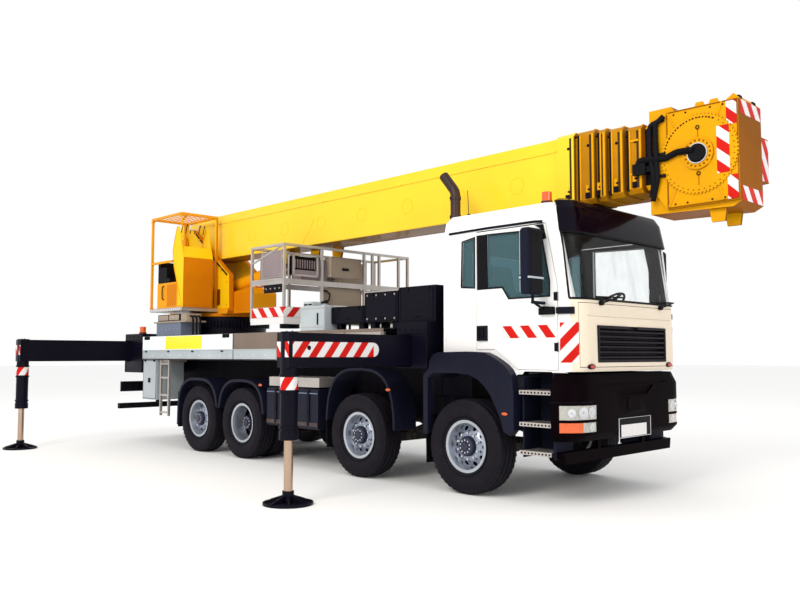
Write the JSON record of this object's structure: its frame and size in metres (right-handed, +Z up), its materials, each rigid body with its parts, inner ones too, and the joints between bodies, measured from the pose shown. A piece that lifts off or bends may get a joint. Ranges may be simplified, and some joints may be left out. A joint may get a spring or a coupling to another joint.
{
  "type": "truck-mounted aerial work platform",
  "caption": "Truck-mounted aerial work platform: telescopic boom on a slewing turret, folded jib with a crosswise basket, day cab, and outriggers set down on their jacks.",
  "frame": {"origin": "on the ground, in the middle of the machine's length and of its width over the jacks", "axes": "+X forward, towards the cab; +Y to the driver's left; +Z up"},
  "size_m": [11.5258, 6.79, 4.17],
  "materials": {
    "chassis_black": "semi-gloss",
    "engine_grey": "rough",
    "cab_white": "gloss",
    "dark_plastic": "matte",
    "window_glass": "clear",
    "lamp_lens": "gloss",
    "deck_grey": "satin",
    "exhaust_brown": "burnt",
    "turret_orange": "semi-gloss",
    "boom_yellow": "semi-gloss",
    "rod_chrome": "polished",
    "basket_alloy": "satin",
    "jack_black": "semi-gloss",
    "tyre_rubber": "matte",
    "knuckle_iron": "rough"
  },
  "bodies": {
    "chassis": {"chassis_frame": "chassis_black", "axles": "chassis_black", "engine_block": "engine_grey", "mudguards": "chassis_black", "cab_shell": "cab_white", "front_panel": "cab_white", "grille": "dark_plastic", "roof_cap": "dark_plastic", "cab_glass": "window_glass", "cab_interior": "dark_plastic", "front_bumper": "dark_plastic", "cab_steps": "dark_plastic", "lamps": "lamp_lens", "deck": "deck_grey", "outrigger_housings": "chassis_black", "side_boxes": "deck_grey", "deck_cabinets": "chassis_black", "exhaust_stack": "exhaust_brown", "rear_fittings": "chassis_black", "slew_ring": "chassis_black"},
    "turret": {"turret": "turret_orange", "operator_station": "turret_orange"},
    "boom_1": {"boom_1": "boom_yellow", "lift_ears": "boom_yellow"},
    "boom_2": {"boom_2": "boom_yellow"},
    "boom_3": {"boom_3": "boom_yellow"},
    "boom_4": {"boom_4": "boom_yellow"},
    "boom_5": {"boom_5": "boom_yellow"},
    "boom_6": {"boom_6": "boom_yellow"},
    "jib": {"jib": "boom_yellow"},
    "basket": {"basket": "basket_alloy", "basket_controls": "basket_alloy"},
    "lift_barrel": {"lift_barrel": "turret_orange"},
    "lift_rod": {"lift_rod": "rod_chrome"},
    "wheel_1_right": {"wheel_1_right": "tyre_rubber"},
    "knuckle_1_right": {"knuckle_1_right": "knuckle_iron"},
    "wheel_1_left": {"wheel_1_left": "tyre_rubber"},
    "knuckle_1_left": {"knuckle_1_left": "knuckle_iron"},
    "wheel_2_right": {"wheel_2_right": "tyre_rubber"},
    "knuckle_2_right": {"knuckle_2_right": "knuckle_iron"},
    "wheel_2_left": {"wheel_2_left": "tyre_rubber"},
    "knuckle_2_left": {"knuckle_2_left": "knuckle_iron"},
    "wheel_3_right": {"wheel_3_right": "tyre_rubber"},
    "wheel_3_left": {"wheel_3_left": "tyre_rubber"},
    "wheel_4_right": {"wheel_4_right": "tyre_rubber"},
    "knuckle_4_right": {"knuckle_4_right": "knuckle_iron"},
    "wheel_4_left": {"wheel_4_left": "tyre_rubber"},
    "knuckle_4_left": {"knuckle_4_left": "knuckle_iron"},
    "door_right": {"door_right": "cab_white", "door_glass_right": "window_glass"},
    "door_left": {"door_left": "cab_white", "door_glass_left": "window_glass"},
    "beam_front_right": {"beam_front_right": "jack_black"},
    "jack_front_right": {"jack_front_right": "jack_black"},
    "beam_front_left": {"beam_front_left": "jack_black"},
    "jack_front_left": {"jack_front_left": "jack_black"},
    "beam_rear_right": {"beam_rear_right": "jack_black"},
    "jack_rear_right": {"jack_rear_right": "jack_black"},
    "beam_rear_left": {"beam_rear_left": "jack_black"},
    "jack_rear_left": {"jack_rear_left": "jack_black"}
  },
  "joints": [
    {"name": "slew", "type": "hinge", "parent": "chassis", "child": "turret", "pos_m": [-3.85, 0, 2.24], "axis": [0, 0, 1], "range_deg": [0, 340]},
    {"name": "boom_luff", "type": "hinge", "parent": "turret", "child": "boom_1", "pos_m": [-4.65, -0.105, 3.65], "axis": [0, -1, 0], "range_deg": [0, 80]},
    {"name": "boom_extend_2", "type": "slide", "parent": "boom_1", "child": "boom_2", "axis": [1, 0, 0], "range_m": [0, 5.8]},
    {"name": "boom_extend_3", "type": "slide", "parent": "boom_2", "child": "boom_3", "axis": [1, 0, 0], "range_m": [0, 5.8]},
    {"name": "boom_extend_4", "type": "slide", "parent": "boom_3", "child": "boom_4", "axis": [1, 0, 0], "range_m": [0, 5.8]},
    {"name": "boom_extend_5", "type": "slide", "parent": "boom_4", "child": "boom_5", "axis": [1, 0, 0], "range_m": [0, 5.8]},
    {"name": "boom_extend_6", "type": "slide", "parent": "boom_5", "child": "boom_6", "axis": [1, 0, 0], "range_m": [0, 5.8]},
    {"name": "jib_swing", "type": "hinge", "parent": "boom_6", "child": "jib", "pos_m": [5.351, 0.24, 3.605], "axis": [0, -1, 0], "range_deg": [0, 180]},
    {"name": "basket_level", "type": "hinge", "parent": "jib", "child": "basket", "pos_m": [-1.67, 0.5, 3.12], "axis": [0, -1, 0], "range_deg": [-180, 15]},
    {"name": "lift_barrel_tilt", "type": "hinge", "parent": "turret", "child": "lift_barrel", "pos_m": [-4.35, -0.105, 2.66], "axis": [0, -1, 0], "range_deg": [0, 70]},
    {"name": "lift_rod_extend", "type": "slide", "parent": "lift_barrel", "child": "lift_rod", "axis": [0.9897, 0, 0.1432], "range_m": [0, 1.22]},
    {"name": "steer_1_right", "type": "hinge", "parent": "chassis", "child": "knuckle_1_right", "pos_m": [2.95, -0.93, 0.535], "axis": [0, 0, 1], "range_deg": [-35, 35]},
    {"name": "roll_1_right", "type": "hinge", "parent": "knuckle_1_right", "child": "wheel_1_right", "pos_m": [2.95, -1.08, 0.535], "axis": [0, 1, 0], "continuous": true},
    {"name": "steer_1_left", "type": "hinge", "parent": "chassis", "child": "knuckle_1_left", "pos_m": [2.95, 0.93, 0.535], "axis": [0, 0, 1], "range_deg": [-35, 35]},
    {"name": "roll_1_left", "type": "hinge", "parent": "knuckle_1_left", "child": "wheel_1_left", "pos_m": [2.95, 1.08, 0.535], "axis": [0, 1, 0], "continuous": true},
    {"name": "steer_2_right", "type": "hinge", "parent": "chassis", "child": "knuckle_2_right", "pos_m": [1.135, -0.93, 0.535], "axis": [0, 0, 1], "range_deg": [-23, 23]},
    {"name": "roll_2_right", "type": "hinge", "parent": "knuckle_2_right", "child": "wheel_2_right", "pos_m": [1.135, -1.08, 0.535], "axis": [0, 1, 0], "continuous": true},
    {"name": "steer_2_left", "type": "hinge", "parent": "chassis", "child": "knuckle_2_left", "pos_m": [1.135, 0.93, 0.535], "axis": [0, 0, 1], "range_deg": [-23, 23]},
    {"name": "roll_2_left", "type": "hinge", "parent": "knuckle_2_left", "child": "wheel_2_left", "pos_m": [1.135, 1.08, 0.535], "axis": [0, 1, 0], "continuous": true},
    {"name": "roll_3_right", "type": "hinge", "parent": "chassis", "child": "wheel_3_right", "pos_m": [-1.54, -1.08, 0.535], "axis": [0, 1, 0], "continuous": true},
    {"name": "roll_3_left", "type": "hinge", "parent": "chassis", "child": "wheel_3_left", "pos_m": [-1.54, 1.08, 0.535], "axis": [0, 1, 0], "continuous": true},
    {"name": "steer_4_right", "type": "hinge", "parent": "chassis", "child": "knuckle_4_right", "pos_m": [-2.8, -0.93, 0.535], "axis": [0, 0, 1], "range_deg": [-12, 12]},
    {"name": "roll_4_right", "type": "hinge", "parent": "knuckle_4_right", "child": "wheel_4_right", "pos_m": [-2.8, -1.08, 0.535], "axis": [0, 1, 0], "continuous": true},
    {"name": "steer_4_left", "type": "hinge", "parent": "chassis", "child": "knuckle_4_left", "pos_m": [-2.8, 0.93, 0.535], "axis": [0, 0, 1], "range_deg": [-12, 12]},
    {"name": "roll_4_left", "type": "hinge", "parent": "knuckle_4_left", "child": "wheel_4_left", "pos_m": [-2.8, 1.08, 0.535], "axis": [0, 1, 0], "continuous": true},
    {"name": "door_right_open", "type": "hinge", "parent": "chassis", "child": "door_right", "pos_m": [4.15, -1.12, 2.2], "axis": [0, 0, 1], "range_deg": [0, 70]},
    {"name": "door_left_open", "type": "hinge", "parent": "chassis", "child": "door_left", "pos_m": [4.15, 1.12, 2.2], "axis": [0, 0, -1], "range_deg": [0, 70]},
    {"name": "beam_front_right_slide", "type": "slide", "parent": "chassis", "child": "beam_front_right", "axis": [0, -1, 0], "range_m": [-1.6, 0.2]},
    {"name": "jack_front_right_slide", "type": "slide", "parent": "beam_front_right", "child": "jack_front_right", "axis": [0, 0, -1], "range_m": [-0.5, 0.2]},
    {"name": "beam_front_left_slide", "type": "slide", "parent": "chassis", "child": "beam_front_left", "axis": [0, 1, 0], "range_m": [-1.6, 0.2]},
    {"name": "jack_front_left_slide", "type": "slide", "parent": "beam_front_left", "child": "jack_front_left", "axis": [0, 0, -1], "range_m": [-0.5, 0.2]},
    {"name": "beam_rear_right_slide", "type": "slide", "parent": "chassis", "child": "beam_rear_right", "axis": [0, -1, 0], "range_m": [-1.75, 0.2]},
    {"name": "jack_rear_right_slide", "type": "slide", "parent": "beam_rear_right", "child": "jack_rear_right", "axis": [0, 0, -1], "range_m": [-0.5, 0.2]},
    {"name": "beam_rear_left_slide", "type": "slide", "parent": "chassis", "child": "beam_rear_left", "axis": [0, 1, 0], "range_m": [-1.75, 0.2]},
    {"name": "jack_rear_left_slide", "type": "slide", "parent": "beam_rear_left", "child": "jack_rear_left", "axis": [0, 0, -1], "range_m": [-0.5, 0.2]}
  ],
  "couplings": [
    {"joint": "boom_extend_2", "follows": "boom_luff", "m_per_rad": 0.72},
    {"joint": "boom_extend_3", "follows": "boom_luff", "m_per_rad": 0.72},
    {"joint": "boom_extend_4", "follows": "boom_luff", "m_per_rad": 0.72},
    {"joint": "boom_extend_5", "follows": "boom_luff", "m_per_rad": 0.72},
    {"joint": "boom_extend_6", "follows": "boom_luff", "m_per_rad": 0.72},
    {"joint": "jib_swing", "follows": "boom_luff", "ratio": 0.1},
    {"joint": "basket_level", "follows": "boom_luff", "ratio": -1.1},
    {"joint": "lift_barrel_tilt", "follows": "boom_luff", "ratio": 0.86051},
    {"joint": "lift_rod_extend", "follows": "boom_luff", "m_per_rad": 0.86163},
    {"joint": "steer_1_right", "follows": "steer_1_left", "ratio": 1},
    {"joint": "steer_2_right", "follows": "steer_1_left", "ratio": 0.65},
    {"joint": "steer_2_left", "follows": "steer_1_left", "ratio": 0.65},
    {"joint": "steer_4_right", "follows": "steer_1_left", "ratio": -0.32},
    {"joint": "steer_4_left", "follows": "steer_1_left", "ratio": -0.32}
  ]
}
